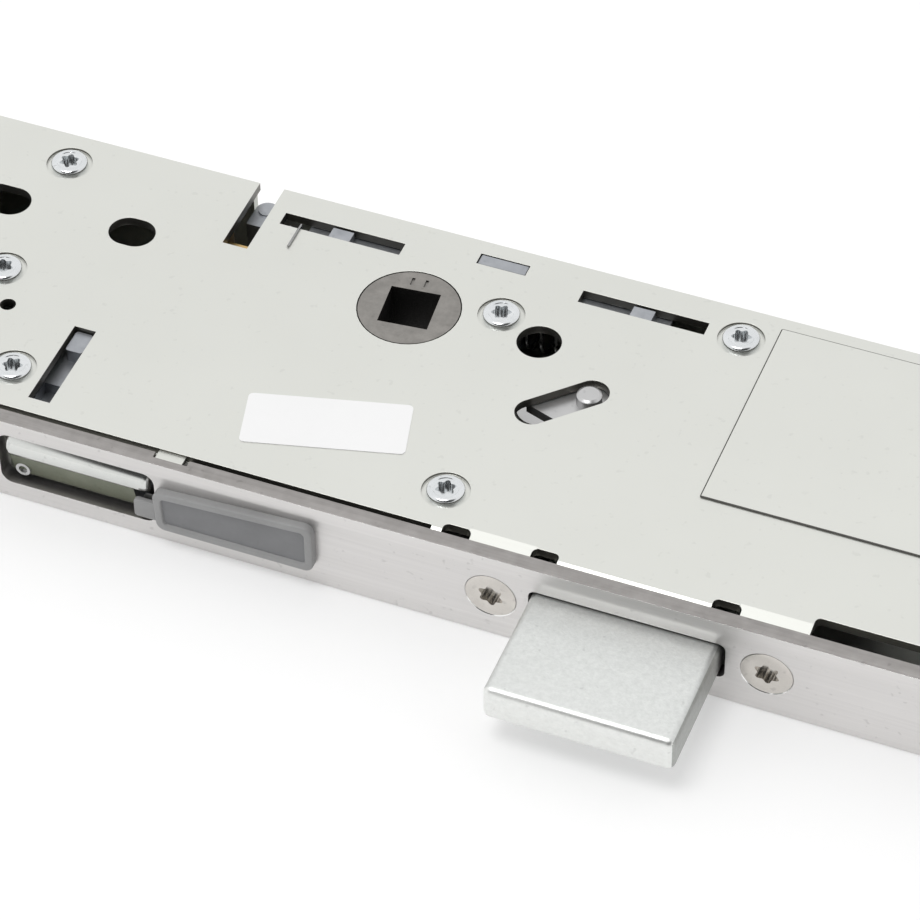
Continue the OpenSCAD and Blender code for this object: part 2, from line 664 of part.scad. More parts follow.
label_size = [25.2, 10.4];
module inspection_label() piece(paper) translate([-2.1, backset - 27.9, face_width])
    rotate([0, 0, 14.5]) translate([-label_size[0] / 2, -label_size[1] / 2, 0])
    rounded([label_size[0], label_size[1], 0.1], 0.8);

// The transit clip: a raised panel on the faceplate with a tab beside the latch
clip_proud = 1.4;
clip_x = [latch_span[1] + 1.1, latch_span[1] + 27.2];
clip_z = [z_mid - 4.55, z_mid + 3.25];
clip_border = 1.3;
clip_lean = 3.2;
module clip_panel(inset, y) {
    corner = [clip_x[0], 0, clip_z[1]];
    intersection() {
        window_y([clip_x[0] + inset, clip_x[1] - inset], y,
            [clip_z[0] + inset, face_width + 2], 2 - 0.8 * inset);
        translate(corner) rotate([0, -clip_lean, 0]) translate(-corner)
            window_y([clip_x[0] + inset, clip_x[1] - inset], y,
                [clip_z[0] - 4, clip_z[1] - inset], 1.6 - 0.6 * inset);
    }
}
module transit_clip() piece(plastic) {
    difference() {
        clip_panel(0, [-clip_proud, 0]);
        clip_panel(clip_border, [-clip_proud - cut, -clip_proud + 0.4]);
    }
    window_y([latch_span[1] - 2.2, clip_x[0] + 2], [-clip_proud + 0.4, 0],
        [z_mid - 3.3, z_mid + 0.2], 0.6);
    span([latch_span[1] - 2.2, latch_span[1] + 0.4], [-0.4, 0.8], [z_mid - 3.1, z_mid - 1.2]);
}

// The links between rails and drive slide, and how the rails pass screws and hooks
link_y = 11;
link_rivet_r = 2;
link_rivet_x = [slide_x[0] + 5, slide_x[0] + 15, slide_x[1] - 15, slide_x[1] - 5];
module rail(x, foot_x) difference() {
    union() {
        span(x, rail_y, [slide_z[1], rail_z[1]]);
        span([max(x[0], foot_x[1] == x[1] ? x[0] : foot_x[1] + 1),
            min(x[1], foot_x[0] == x[0] ? x[1] : foot_x[0] - 1)], rail_y, rail_z);
        span(foot_x, [rail_y[0], slide_y[1]], [slide_z[1], slide_z[1] + 2]);
    }
    for (fx = door_fix_x) window_y([fx - 3, fx + bolt_throw + 3], [rail_y[0] - cut, rail_y[1] + cut],
        [z_mid - 3, z_mid + 3], 2.9);
    for (hx = hook_x) {
        window_y([hx + hook_screw_x[0] - 2.6, hx + hook_screw_x[0] + bolt_throw + 2.6],
            [rail_y[0] - cut, rail_y[1] + cut], [z_mid - 2.6, z_mid + 2.6], 2.5);
        window_y([hx + hook_slot_x[0] - 1.4, hx + hook_screw_x[1] + bolt_throw + 2.6],
            [rail_y[0] - cut, rail_y[1] + cut], [hook_z[0] - 0.4, hook_z[1] + 0.4], 1);
        for (x = driver_rivet_x) rod_y(hx + x, z_mid, driver_rivet_r, [rail_y[0] - cut, rail_y[1] + cut]);
    }
    for (rx = link_rivet_x) rod([rx, link_y], link_rivet_r, [slide_z[1] - cut, slide_z[1] + 2 + cut]);
}

module upper_rail() piece(steel)
    rail([hook_x[0] - rail_past_hook, slide_x[0] + link_l], [slide_x[0], slide_x[0] + link_l]);

module lower_rail() piece(steel)
    rail([slide_x[1] - link_l, hook_x[1] + rail_past_hook + bolt_throw],
        [slide_x[1] - link_l, slide_x[1]]);

module rail_rivets() piece(plated) for (x = link_rivet_x) {
    rod([x, link_y], link_rivet_r - 0.02, [slide_z[0], slide_z[1] + 2.8]);
    rod([x, link_y], link_rivet_r + 1.2, [slide_z[1] + 2, slide_z[1] + 2.8]);
}

// Guides on the back of the faceplate hold the rails close to it
guide_x = [-440, -230, 300, 500];
module rail_guides() piece(plastic) for (x = guide_x) difference() {
    span([x - 7, x + 7], [face_t, rail_y[1] + run + 1.6], [rail_z[0] - 2, rail_z[1] + 2]);
    span([x - 7 - cut, x + 7 + cut], [face_t - cut, rail_y[1] + run],
        [rail_z[0] - run, rail_z[1] + run]);
}

driver_rivet_x = [-19, -13];
driver_rivet_r = 1.5;
driver_leg_t = 1.6;
module driver_rivets() piece(plated) for (hx = hook_x, x = driver_rivet_x) {
    rod_y(hx + x, z_mid, driver_rivet_r - 0.02, [rail_y[0], rail_y[1] + driver_leg_t + 0.7]);
    rod_y(hx + x, z_mid, driver_rivet_r + 1, [rail_y[1] + driver_leg_t, rail_y[1] + driver_leg_t + 0.7]);
}

// A hook case with two lugs behind the rail for its faceplate screws
module hook_case(hx) difference() {
    x = [hx + hook_case_x[0], hx + hook_case_x[1]];
    union() {
        span(x, [face_t, hook_case_back], [0, z_floor]);
        span(x, [hook_case_back - wall, hook_case_back], [0, z_roof]);
        for (e = [x[0], x[1] - wall]) span([e, e + wall], [face_t, hook_case_back], [0, z_roof]);
        for (s = hook_screw_x) span([hx + s - 4, hx + s + 4], [rail_y[1] + run, 14], [0, z_roof]);
    }
    for (e = x) span([e - wall - cut, e + wall + cut], [face_t - cut, rail_y[1] + run],
        [rail_z[0] - run, rail_z[1] + run]);
    for (s = hook_screw_x) rod_y(hx + s, z_mid, screw_r + snug, [face_t - cut, 14 + cut]);
    rod([hx, hook_pivot_y], hook_pivot_r + snug, [-cut, z_floor + cut]);
    for (r = hook_rivet_x) rod([hx + r, hook_rivet_y], screw_r + snug, [-cut, z_floor + cut]);
}

module hook_cover(hx) difference() {
    span([hx + hook_case_x[0], hx + hook_case_x[1]], [face_t + 0.02, hook_case_back],
        [z_roof, face_width]);
    rod([hx, hook_pivot_y], hook_pivot_r + snug, [z_roof - cut, face_width + cut]);
    for (r = hook_rivet_x) rod([hx + r, hook_rivet_y], screw_r + snug,
        [z_roof - cut, face_width + cut]);
}

// A hook: boss, shank, beak and the arm that the driver pushes
module hook(hx) difference() {
    pivot = [hx, hook_pivot_y];
    tip = -hook_reach - hook_pivot_y;
    union() {
        rod(pivot, 8, hook_z);
        rounded_span([hx - 6, hx + 5], [-hook_reach, hook_pivot_y], hook_z, 1.5);
        rounded_span([hx - 6, hx + 14], [-hook_reach, -hook_reach + 8], hook_z, 1.5);
        pill(pivot, [hx, 0] + hook_pin_at, 4.2, hook_z);
        translate([hx + 5, tip + hook_pivot_y + 8, hook_z[0]])
            linear_extrude(hook_t) polygon([[0, -0.5], [5, -0.5], [0, 2.5]]);
    }
    rod(pivot, hook_pivot_r + snug, [hook_z[0] - cut, hook_z[1] + cut]);
    rod([hx, 0] + hook_pin_at, hook_pin_r, [hook_z[0] - cut, hook_z[1] + cut]);
}

module hook_pivot(hx) {
    rod([hx, hook_pivot_y], hook_pivot_r, [0.1, face_width]);
    rod([hx, hook_pivot_y], hook_pivot_r + 2, [z_floor, hook_z[0] - 0.1]);
}

module hook_pin(hx) rod([hx, 0] + hook_pin_at, hook_pin_r - 0.02, [hook_z[0], driver_z[1] + 0.6]);

// The driver: a plate over the hook, riveted to the rail, with slots for pivot and pin
module hook_driver(hx) difference() {
    top_y = hook_pivot_y + hook_arm_r;
    union() {
        span([hx + driver_leg_x[0], hx + 29], [rail_y[1], hook_pivot_y + 6.5], driver_z);
        span([hx + driver_leg_x[0], hx + driver_leg_x[1]], [rail_y[1], rail_y[1] + driver_leg_t],
            [rail_z[0], driver_z[1]]);
        span([hx + hook_pin_at[0] - 7, hx + hook_pin_at[0] + 7], [hook_pivot_y + 6, top_y + 5.4],
            driver_z);
    }
    pill([hx, hook_pivot_y], [hx + bolt_throw, hook_pivot_y], hook_pivot_r + 0.4,
        [driver_z[0] - cut, driver_z[1] + cut]);
    pill([hx, 0] + hook_pin_at - [0, 0.6], [hx + hook_pin_at[0], top_y + 0.6], hook_pin_r + 0.4,
        [driver_z[0] - cut, driver_z[1] + cut]);
    for (x = driver_rivet_x) rod_y(hx + x, z_mid, driver_rivet_r,
        [rail_y[1] - cut, rail_y[1] + driver_leg_t + cut]);
}

module hook_rivets(hx) for (r = hook_rivet_x) {
    rod([hx + r, hook_rivet_y], screw_r, [0.1, face_width + 0.5]);
    rod([hx + r, hook_rivet_y], screw_r + 1, [z_floor, z_roof]);
    rod([hx + r, hook_rivet_y], screw_r + 1.1, [face_width, face_width + 0.5]);
}

module hook_case_upper() piece(steel) hook_case(hook_x[0]);
module hook_case_lower() piece(steel) hook_case(hook_x[1]);
module hook_cover_upper() piece(plated) hook_cover(hook_x[0]);
module hook_cover_lower() piece(plated) hook_cover(hook_x[1]);
module hook_upper() piece(zinc) hook(hook_x[0]);
module hook_lower() piece(zinc) hook(hook_x[1]);
module hook_pivot_upper() piece(stainless) hook_pivot(hook_x[0]);
module hook_pivot_lower() piece(stainless) hook_pivot(hook_x[1]);
module hook_pin_upper() piece(stainless) hook_pin(hook_x[0]);
module hook_pin_lower() piece(stainless) hook_pin(hook_x[1]);
module hook_driver_upper() piece(steel) hook_driver(hook_x[0]);
module hook_driver_lower() piece(steel) hook_driver(hook_x[1]);
module hook_rivets_upper() piece(plated) hook_rivets(hook_x[0]);
module hook_rivets_lower() piece(plated) hook_rivets(hook_x[1]);

faceplate();
faceplate_screws();
case_tray();
case_cover();
cylinder_guard_plate();
cover_screws();
case_pillars();
follower();
return_slide();
return_spring_upper();
return_spring_lower();
spring_stop();
drive_slide();
deadbolt_drive_pin();
deadbolt();
deadlock_plate();
deadlock_pin();
latch_bolt();
latch_screw();
latch_tail();
latch_carrier();
latch_spring();
latch_guide();
back_block();
wire_spring();
key_lever();
key_lever_pivot();
key_lever_spring();
inspection_label();
transit_clip();
upper_rail();
lower_rail();
rail_rivets();
rail_guides();
driver_rivets();
hook_case_upper();
hook_cover_upper();
hook_upper();
hook_pivot_upper();
hook_pin_upper();
hook_driver_upper();
hook_rivets_upper();
hook_case_lower();
hook_cover_lower();
hook_lower();
hook_pivot_lower();
hook_pin_lower();
hook_driver_lower();
hook_rivets_lower();
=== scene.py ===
# %% [markdown]
# # A multipoint door lock on a photographer's white table
# The lock is a long stainless strip with a flat steel case in the middle and a hook case near
# each end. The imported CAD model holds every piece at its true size, so this lesson dresses it:
# it keeps the stamped parts, rebuilds the ones that need finer edges, and gives each metal its
# own finish. Sizes are written in millimetres, as they would be on a drawing, and every
# position is counted from the front of the faceplate.

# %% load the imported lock
import bpy
import bmesh
import json
import math
from mathutils import Matrix, Vector


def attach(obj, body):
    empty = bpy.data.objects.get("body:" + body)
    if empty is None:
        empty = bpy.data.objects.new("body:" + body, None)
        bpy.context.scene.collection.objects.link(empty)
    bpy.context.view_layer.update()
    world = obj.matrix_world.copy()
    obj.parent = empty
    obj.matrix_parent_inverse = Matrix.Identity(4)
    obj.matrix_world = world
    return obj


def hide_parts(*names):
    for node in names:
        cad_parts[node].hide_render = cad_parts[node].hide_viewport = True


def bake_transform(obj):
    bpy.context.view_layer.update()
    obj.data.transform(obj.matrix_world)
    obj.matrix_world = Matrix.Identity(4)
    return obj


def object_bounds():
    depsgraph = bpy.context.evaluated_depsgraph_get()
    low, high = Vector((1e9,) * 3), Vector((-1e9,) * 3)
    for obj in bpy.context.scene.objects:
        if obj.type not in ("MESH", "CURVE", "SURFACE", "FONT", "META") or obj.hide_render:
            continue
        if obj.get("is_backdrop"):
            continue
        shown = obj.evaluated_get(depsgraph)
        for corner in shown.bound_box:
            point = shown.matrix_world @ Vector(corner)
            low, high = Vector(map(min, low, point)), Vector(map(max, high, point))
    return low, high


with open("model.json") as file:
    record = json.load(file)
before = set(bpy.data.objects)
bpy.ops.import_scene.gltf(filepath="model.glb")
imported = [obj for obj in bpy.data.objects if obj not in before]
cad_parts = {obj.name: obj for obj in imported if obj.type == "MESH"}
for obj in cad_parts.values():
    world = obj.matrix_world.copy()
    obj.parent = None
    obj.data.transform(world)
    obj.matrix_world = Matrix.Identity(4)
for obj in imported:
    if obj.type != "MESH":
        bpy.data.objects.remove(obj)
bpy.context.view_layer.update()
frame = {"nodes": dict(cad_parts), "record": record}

nodes = frame["nodes"]

# %% sizes and places shared by the cells below
MM = 0.001
BACKSET = 45.0
FACE_W = 16.0
FACE_T = 2.5
Z_MID = FACE_W / 2
STRIP = (-860.0, 910.0)
FACE_SCREWS = (-70.0, 30.95, 73.75, 128.0, -690.0, -598.0, 650.0, 742.0)
DOOR_HOLES = (-840.0, -500.0, -300.0, -160.0, 215.0, 400.0, 590.0, 880.0)
HOOKS = (-640.0, 700.0)
COVER_SCREWS = ((-91, 55.2), (-91, 22), (-63.5, 56.65), (-62.6, 30.6), (-51.6, 11.2),
                (13.9, 48.6), (19.8, 10.6), (50.2, 56.6), (133, 56.6), (133, 24))
CYLINDER_SCREW = 111.5
LATCH = (-48.2, -24.2)
BOLT = (37.3, 66.6)
BOLT_T = 6.2
THROW = 20.0


def at(x, d, z):
    """A point given along the lock, behind the faceplate's front and above the table."""
    return Vector((x, d - BACKSET, z)) * MM


# %% [markdown]
# ## Small tools
# A stamped or turned part is quickest to describe as an outline with a thickness, or as a
# profile turned about an axis. Holes are cut with one set of cutters for the whole part, and
# a small bevel then gives every edge the bright line that real sheet metal shows.

# %% tools for solids
def mesh_of(bm, name):
    bmesh.ops.recalc_face_normals(bm, faces=bm.faces)
    mesh = bpy.data.meshes.new(name)
    bm.to_mesh(mesh)
    bm.free()
    return mesh


def piece(name, mesh, body, material, replaced=(), smooth=35):
    """Puts a mesh in the scene, shades it, and makes it ride on a body of the lock."""
    obj = bpy.data.objects.new(name, mesh)
    bpy.context.scene.collection.objects.link(obj)
    mesh.materials.clear()
    mesh.materials.append(material)
    if smooth:
        shade(mesh, smooth)
    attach(obj, body)
    if replaced:
        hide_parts(*replaced)
    return obj


def shade(mesh, angle):
    """Smooth faces, with the edges sharper than the angle kept crisp."""
    bm = bmesh.new()
    bm.from_mesh(mesh)
    for face in bm.faces:
        face.smooth = True
    for edge in bm.edges:
        sharp = len(edge.link_faces) != 2 or edge.calc_face_angle(0) > math.radians(angle)
        edge.smooth = not sharp
    bm.to_mesh(mesh)
    bm.free()


def prism(bm, outline, low, high, turn=Matrix()):
    """A solid with this outline in x and y, from one height to another, then turned."""
    bottom = [bm.verts.new(turn @ Vector((x, y, low))) for x, y in outline]
    top = [bm.verts.new(turn @ Vector((x, y, high))) for x, y in outline]
    count = len(outline)
    bm.faces.new(list(reversed(bottom)))
    bm.faces.new(top)
    for i in range(count):
        j = (i + 1) % count
        bm.faces.new((bottom[i], bottom[j], top[j], top[i]))


def rounded(corners, radius, steps=8):
    """The outline of a polygon drawn anticlockwise, with every corner rounded."""
    points = []
    for i in range(len(corners)):
        corner = Vector(corners[i])
        before = (Vector(corners[i - 1]) - corner).normalized()
        after = (Vector(corners[(i + 1) % len(corners)]) - corner).normalized()
        half = before.angle(after) / 2
        middle = corner + (before + after).normalized() * radius / math.sin(half)
        start = corner + before * radius / math.tan(half) - middle
        for step in range(steps + 1):
            turn = Matrix.Rotation((math.pi - 2 * half) * step / steps, 2)
            points.append(middle + turn @ start)
    return points


def round_box(width, height, radius, steps=8):
    """The outline of a rectangle with round corners, centred on zero."""
    x = width / 2
    y = height / 2
    return rounded([(-x, -y), (x, -y), (x, y), (-x, y)], radius, steps)


def lobed(radius, steps=72):
    """The outline of a six-lobe driving recess."""
    points = []
    for step in range(steps):
        angle = 2 * math.pi * step / steps
        out = radius * (0.86 + 0.14 * math.cos(6 * angle))
        points.append((out * math.cos(angle), out * math.sin(angle)))
    return points


def turned(bm, profile, segments=64, place=Matrix()):
    """A profile of radius and height, turned about z."""
    rings = []
    for radius, height in profile:
        if radius == 0:
            rings.append([bm.verts.new(place @ Vector((0, 0, height)))])
            continue
        ring = []
        for step in range(segments):
            angle = 2 * math.pi * step / segments
            ring.append(bm.verts.new(place @ Vector((radius * math.cos(angle),
                                                     radius * math.sin(angle), height))))
        rings.append(ring)
    for low, high in zip(rings, rings[1:]):
        for i in range(segments):
            j = (i + 1) % segments
            corners = [low[i % len(low)], low[j % len(low)], high[j % len(high)], high[i % len(high)]]
            kept = []
            for corner in corners:
                if corner not in kept:
                    kept.append(corner)
            if len(kept) > 2:
                bm.faces.new(kept)
    for ring in (rings[0], rings[-1]):
        if len(ring) > 1:
            bm.faces.new(ring)


def cut_from(mesh, cutters, name):
    """The mesh with the cutters taken out of it."""
    body = bpy.data.objects.new("cut_body", mesh)
    tool = bpy.data.objects.new("cut_tool", cutters)
    for obj in (body, tool):
        bpy.context.scene.collection.objects.link(obj)
    modifier = body.modifiers.new("holes", "BOOLEAN")
    modifier.operation = "DIFFERENCE"
    modifier.solver = "EXACT"
    modifier.object = tool
    depsgraph = bpy.context.evaluated_depsgraph_get()
    made = bpy.data.meshes.new_from_object(body.evaluated_get(depsgraph))
    made.name = name
    bpy.data.objects.remove(body)
    bpy.data.objects.remove(tool)
    return made


def beveled(mesh, width, segments=2, angle=30):
    """The mesh with a small bevel along its crisp edges."""
    bm = bmesh.new()
    bm.from_mesh(mesh)
    bmesh.ops.remove_doubles(bm, verts=bm.verts, dist=1e-7)
    bmesh.ops.dissolve_limit(bm, angle_limit=math.radians(1), verts=bm.verts, edges=bm.edges)
    edges = [e for e in bm.edges
             if len(e.link_faces) == 2 and e.calc_face_angle(0) > math.radians(angle)]
    bmesh.ops.bevel(bm, geom=edges, offset=width * MM, segments=segments, profile=0.5,
                    affect="EDGES", clamp_overlap=True)
    bm.to_mesh(mesh)
    bm.free()
    return mesh


def facing_front(x, d, z):
    """Places what was drawn in x and y with its top towards the front of the faceplate."""
    return Matrix.Translation(at(x, d, z)) @ Matrix.Rotation(math.radians(90), 4, "X") @ Matrix.Scale(MM, 4)


def upright(x, d, z):
    return Matrix.Translation(at(x, d, z)) @ Matrix.Scale(MM, 4)


# %% [markdown]
# ## Finishes
# The lock has few colours, so the finishes carry the picture. Zinc plate is a pale satin
# with faint clouds and fine dust, the faceplate is brushed along its length, and die cast
# parts are bluish and grainy. Two groups of nodes make those patterns and are shared.

# %% shared patterns
def new_group(name, inputs, outputs):
    group = bpy.data.node_groups.new(name, "ShaderNodeTree")
    for label, value in inputs:
        socket = group.interface.new_socket(label, in_out="INPUT", socket_type="NodeSocketFloat")
        socket.default_value = value
    for label in outputs:
        group.interface.new_socket(label, in_out="OUTPUT", socket_type="NodeSocketFloat")
    return group, group.nodes.new("NodeGroupInput"), group.nodes.new("NodeGroupOutput")


def add(tree, kind, **settings):
    node = tree.nodes.new(kind)
    for key, value in settings.items():
        if key in node.inputs:
            node.inputs[key].default_value = value
        else:
            setattr(node, key, value)
    return node


def stretched(tree, scale):
    """Object coordinates, stretched so that a pattern runs along one way."""
    where = add(tree, "ShaderNodeTexCoord")
    mapping = add(tree, "ShaderNodeMapping")
    mapping.inputs["Scale"].default_value = scale
    tree.links.new(where.outputs["Object"], mapping.inputs["Vector"])
    return mapping.outputs["Vector"]


def make_clouds():
    """Slow clouds, fine grain and small specks, as on plated sheet."""
    group, given, out = new_group("plated_clouds", [("Size", 60.0)], ["Cloud", "Grain", "Specks"])
    where = stretched(group, (1, 1, 1))
    cloud = add(group, "ShaderNodeTexNoise", Detail=4.0, Roughness=0.6)
    group.links.new(where, cloud.inputs["Vector"])
    group.links.new(given.outputs["Size"], cloud.inputs["Scale"])
    grain = add(group, "ShaderNodeTexNoise", Scale=2600.0, Detail=3.0, Roughness=0.65)
    group.links.new(where, grain.inputs["Vector"])
    spots = add(group, "ShaderNodeTexNoise", Scale=900.0, Detail=1.0, Roughness=0.4)
    group.links.new(where, spots.inputs["Vector"])
    narrow = add(group, "ShaderNodeMapRange")
    narrow.inputs["From Min"].default_value = 0.70
    narrow.inputs["From Max"].default_value = 0.78
    group.links.new(spots.outputs["Fac"], narrow.inputs["Value"])
    group.links.new(cloud.outputs["Fac"], out.inputs["Cloud"])
    group.links.new(grain.outputs["Fac"], out.inputs["Grain"])
    group.links.new(narrow.outputs["Result"], out.inputs["Specks"])
    return group


def make_brushing(name, scale):
    """Fine streaks along one way, with some long faint scratches."""
    group, given, out = new_group(name, [("Depth", 1.0)], ["Streak", "Scratch"])
    fine = add(group, "ShaderNodeTexNoise", Scale=1.0, Detail=5.0, Roughness=0.7)
    group.links.new(stretched(group, scale), fine.inputs["Vector"])
    deep = add(group, "ShaderNodeMath", operation="MULTIPLY")
    group.links.new(fine.outputs["Fac"], deep.inputs[0])
    group.links.new(given.outputs["Depth"], deep.inputs[1])
    rare = add(group, "ShaderNodeTexNoise", Scale=0.35, Detail=2.0, Roughness=0.5)
    group.links.new(stretched(group, scale), rare.inputs["Vector"])
    narrow = add(group, "ShaderNodeMapRange")
    narrow.inputs["From Min"].default_value = 0.66
    narrow.inputs["From Max"].default_value = 0.76
    group.links.new(rare.outputs["Fac"], narrow.inputs["Value"])
    group.links.new(deep.outputs["Value"], out.inputs["Streak"])
    group.links.new(narrow.outputs["Result"], out.inputs["Scratch"])
    return group


clouds = make_clouds()
brush_long = make_brushing("brushed_along_lock", (22, 1700, 1700))


# %% finishes
def blend_colour(tree, factor, dark, light):
    mix = add(tree, "ShaderNodeMix", data_type="RGBA")
    mix.inputs[6].default_value = (*dark, 1)
    mix.inputs[7].default_value = (*light, 1)
    tree.links.new(factor, mix.inputs[0])
    return mix.outputs[2]


def range_of(tree, value, low, high):
    spread = add(tree, "ShaderNodeMapRange")
    spread.inputs["To Min"].default_value = low
    spread.inputs["To Max"].default_value = high
    tree.links.new(value, spread.inputs["Value"])
    return spread.outputs["Result"]


def painted_wall_shade(tree, colour, wall_shade):
    """Painted shade: upright faces, such as cut edges and the walls of holes and gaps, get a darker colour.
    """
    where = add(tree, "ShaderNodeTexCoord")
    parts = add(tree, "ShaderNodeSeparateXYZ")
    tree.links.new(where.outputs["Normal"], parts.inputs["Vector"])
    level = add(tree, "ShaderNodeMath", operation="ABSOLUTE")
    tree.links.new(parts.outputs["Z"], level.inputs[0])
    wall_shade_mask = add(tree, "ShaderNodeMapRange")
    wall_shade_mask.inputs["From Min"].default_value = 0.45
    wall_shade_mask.inputs["From Max"].default_value = 0.25
    tree.links.new(level.outputs["Value"], wall_shade_mask.inputs["Value"])
    mix = add(tree, "ShaderNodeMix", data_type="RGBA")
    mix.inputs[7].default_value = (*wall_shade, 1)
    tree.links.new(wall_shade_mask.outputs["Result"], mix.inputs[0])
    tree.links.new(colour, mix.inputs[6])
    return mix.outputs[2]


def finish(name, dark, light, rough, metallic, size=60.0, bump=0.05, brushing=None, specks=0.25,
           grain_bump=0.02, wall_shade=None):
    """A metal or plastic whose tone and gloss vary a little over its surface."""
    material = bpy.data.materials.new(name)
    material.use_nodes = True
    tree = material.node_tree
    shader = tree.nodes["Principled BSDF"]
    shader.inputs["Metallic"].default_value = metallic
    pattern = add(tree, "ShaderNodeGroup")
    pattern.node_tree = clouds
    pattern.inputs["Size"].default_value = size
    tone = pattern.outputs["Cloud"]
    relief = pattern.outputs["Grain"]
    if brushing:
        streaks = add(tree, "ShaderNodeGroup")
        streaks.node_tree = brushing
        both = add(tree, "ShaderNodeMath", operation="ADD")
        tree.links.new(tone, both.inputs[0])
        tree.links.new(streaks.outputs["Streak"], both.inputs[1])
        half = add(tree, "ShaderNodeMath", operation="MULTIPLY")
        half.inputs[1].default_value = 0.5
        tree.links.new(both.outputs["Value"], half.inputs[0])
        tone = half.outputs["Value"]
        relief = streaks.outputs["Streak"]
    colour = blend_colour(tree, range_of(tree, tone, -0.3, 1.3), dark, light)
    speckled = add(tree, "ShaderNodeMix", data_type="RGBA")
    speckled.inputs[7].default_value = (*[c * 0.55 for c in dark], 1)
    tree.links.new(colour, speckled.inputs[6])
    tree.links.new(range_of(tree, pattern.outputs["Specks"], 0.0, specks), speckled.inputs[0])
    shown = speckled.outputs[2]
    # Upright faces get a painted shade in the wall colour.
    if wall_shade:
        shown = painted_wall_shade(tree, shown, wall_shade)
    tree.links.new(shown, shader.inputs["Base Color"])
    tree.links.new(range_of(tree, relief, rough[0], rough[1]), shader.inputs["Roughness"])
    bumps = add(tree, "ShaderNodeBump", Strength=bump)
    bumps.inputs["Distance"].default_value = grain_bump * MM
    tree.links.new(relief, bumps.inputs["Height"])
    tree.links.new(bumps.outputs["Normal"], shader.inputs["Normal"])
    return material


# The plated sheet's upright walls get a painted shade.
plated = finish("pale_zinc_plate", (0.68, 0.687, 0.648), (0.73, 0.737, 0.698), (0.34, 0.42), 0.85,
                size=18.0, bump=0.10, specks=0.12, wall_shade=(0.16, 0.155, 0.14))
tray_zinc = finish("case_zinc_plate", (0.50, 0.51, 0.47), (0.60, 0.61, 0.57), (0.34, 0.5), 0.7, size=40.0)
stainless = finish("brushed_stainless", (0.60, 0.585, 0.575), (0.78, 0.765, 0.755), (0.32, 0.46), 1.0,
                   size=14.0, bump=0.3, brushing=brush_long)
# A painted highlight for the faceplate's upper front edge.
front_edge_highlight = finish("painted_front_edge_highlight", (0.92, 0.92, 0.91), (0.97, 0.97, 0.96), (0.12, 0.18), 1.0,
                    size=200.0)
# A darker finish for the faceplate's cut edges; on the walls of its windows it is a painted shade.
sheared_edge_shade = finish("sheared_edge_and_painted_shade", (0.21, 0.20, 0.19), (0.46, 0.44, 0.43), (0.34, 0.5), 0.9,
                 size=320.0, bump=0.6, brushing=brush_long)
screw_steel = finish("turned_screw_steel", (0.56, 0.535, 0.50), (0.70, 0.67, 0.63), (0.14, 0.26), 1.0,
                     size=300.0)
screw_zinc = finish("bright_zinc_screw", (0.66, 0.68, 0.69), (0.80, 0.82, 0.83), (0.12, 0.26), 1.0,
                    size=300.0)
steel = finish("stamped_steel", (0.48, 0.48, 0.48), (0.64, 0.64, 0.64), (0.24, 0.40), 0.85, size=80.0)
# The follower's upright walls get a painted shade, which darkens its spindle hole.
sinter = finish("sintered_steel", (0.21, 0.202, 0.19), (0.34, 0.325, 0.305), (0.32, 0.48), 0.9,
                size=500.0, bump=0.6, grain_bump=0.05, wall_shade=(0.06, 0.058, 0.055))
zinc = finish("die_cast_zinc", (0.30, 0.315, 0.34), (0.46, 0.475, 0.50), (0.3, 0.45), 0.85, size=400.0,
              bump=0.5)
bolt_zinc = finish("matte_bolt_plate", (0.62, 0.635, 0.62), (0.76, 0.775, 0.76), (0.36, 0.50), 0.9,
                   size=1500.0, bump=0.6, grain_bump=0.05)
# A painted highlight for the deadbolt's front.
bolt_front_painted_light = finish("painted_light_bolt_front", (0.76, 0.77, 0.75), (0.88, 0.89, 0.87), (0.32, 0.44), 0.9,
                    size=1500.0, bump=0.6, grain_bump=0.05)
# A painted shade for the deadbolt's right side.
bolt_side_painted_shade = finish("painted_shade_bolt_side", (0.36, 0.37, 0.355), (0.48, 0.49, 0.475), (0.36, 0.50), 0.9,
                   size=1500.0, bump=0.6, grain_bump=0.05)
# A painted shade line for the edge bevels of the guard plate and the follower.
edge_shade_line = finish("painted_edge_shade", (0.10, 0.098, 0.09), (0.16, 0.157, 0.15), (0.4, 0.5), 0.6)
polished = finish("polished_latch_nose", (0.62, 0.63, 0.61), (0.74, 0.75, 0.73), (0.12, 0.22), 1.0,
                  size=120.0)
# A dark greenish tone for the latch's lower slope, a painted shade inside the latch window.
latch_slope_shade = finish("greenish_latch_slope_painted_shade", (0.13, 0.145, 0.10), (0.22, 0.235, 0.175), (0.3, 0.45), 0.6,
                    size=150.0, bump=0.3)
brass = finish("plain_brass", (0.60, 0.42, 0.18), (0.74, 0.54, 0.26), (0.25, 0.4), 1.0, size=120.0)
wire = finish("spring_wire", (0.30, 0.30, 0.30), (0.44, 0.44, 0.44), (0.15, 0.28), 1.0, size=300.0)
clip_grey = finish("grey_clip_plastic", (0.275, 0.275, 0.275), (0.345, 0.345, 0.345), (0.38, 0.55), 0.0,
                   size=150.0, bump=0.5, specks=0.1)
